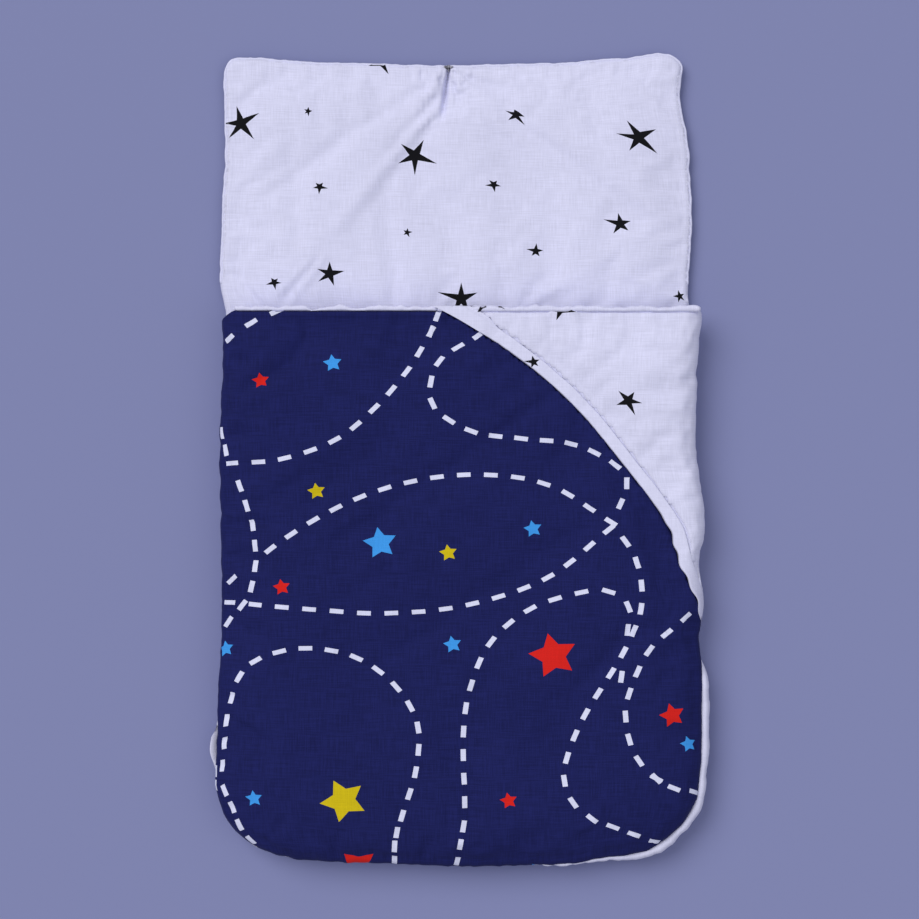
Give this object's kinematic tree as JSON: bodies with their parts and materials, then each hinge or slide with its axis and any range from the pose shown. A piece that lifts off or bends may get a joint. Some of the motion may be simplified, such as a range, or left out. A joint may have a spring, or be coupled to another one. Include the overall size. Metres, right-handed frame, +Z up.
{
  "type": "baby sleeping bag",
  "caption": "Padded cotton baby sleeping bag lying closed, with a hood end, a printed front flap and a curved concealed zip.",
  "frame": {"origin": "under the middle of the bag's plan, on the surface it lies on", "axes": "+Y to the hood end, +Z up out of the front, +X to the side where the zip runs"},
  "size_m": [0.446, 0.75, 0.0445],
  "materials": {
    "navy_cotton": "plain-woven navy cotton with a colour print",
    "outer_star_cotton": "plain-woven white cotton with a black star print",
    "lining_star_cotton": "plain-woven white cotton with a black star print",
    "white_trim": "plain white cotton, rolled",
    "wadding": "soft polyester wadding",
    "zip_tape": "herringbone tape",
    "zip_coil": "nylon coil",
    "zip_metal": "white enamel on die-cast metal",
    "tack_thread": "grey sewing thread"
  },
  "bodies": {
    "back": {"back_shell": "outer_star_cotton", "back_wadding": "wadding", "back_lining": "lining_star_cotton", "side_placket": "white_trim", "zip_tape_back": "zip_tape", "zip_coil_back": "zip_coil", "zip_bottom_stop": "zip_coil"},
    "hood": {"hood_shell": "outer_star_cotton", "hood_wadding": "wadding", "hood_lining": "lining_star_cotton", "hood_piping": "white_trim", "hood_bar_tack": "tack_thread"},
    "front_flap": {"front_shell": "navy_cotton", "front_wadding": "wadding", "front_lining": "lining_star_cotton", "front_mouth_binding": "white_trim", "zip_placket": "white_trim", "zip_tape_front_curve": "zip_tape", "zip_tape_front_side": "zip_tape", "zip_coil_front_curve": "zip_coil", "zip_coil_front_side": "zip_coil", "zip_top_stop_front": "zip_coil"},
    "corner_flap": {"corner_shell": "outer_star_cotton", "corner_wadding": "wadding", "corner_lining": "lining_star_cotton", "corner_mouth_facing": "white_trim", "corner_edge_binding": "white_trim", "zip_tape_corner": "zip_tape", "zip_coil_corner": "zip_coil", "zip_top_stop_corner": "zip_coil"},
    "zip_slider": {"zip_slider_body": "zip_metal"},
    "zip_pull": {"zip_pull_tab": "zip_metal"}
  },
  "joints": [
    {"name": "front_flap_fold", "type": "hinge", "parent": "back", "child": "front_flap", "pos_m": [-0.2234, 0, 0.0234], "axis": [0, -1, 0], "range_deg": [0, 180]},
    {"name": "corner_flap_fold", "type": "hinge", "parent": "back", "child": "corner_flap", "pos_m": [0.2194, 0, 0.0234], "axis": [0, 1, 0], "range_deg": [0, 180]},
    {"name": "hood_fold", "type": "hinge", "parent": "back", "child": "hood", "pos_m": [0, 0.156, 0.0175], "axis": [1, 0, 0], "range_deg": [0, 115]},
    {"name": "zip_run", "type": "hinge", "parent": "front_flap", "child": "zip_slider", "pos_m": [-0.21, -0.262, 0.0275], "axis": [0, 0, 1], "range_deg": [-41.5, 0]},
    {"name": "pull_swing", "type": "hinge", "parent": "zip_slider", "child": "zip_pull", "pos_m": [0.00127, 0.13702, 0.0314], "axis": [-0.4679, -0.8838, 0], "range_deg": [0, 170]}
  ]
}
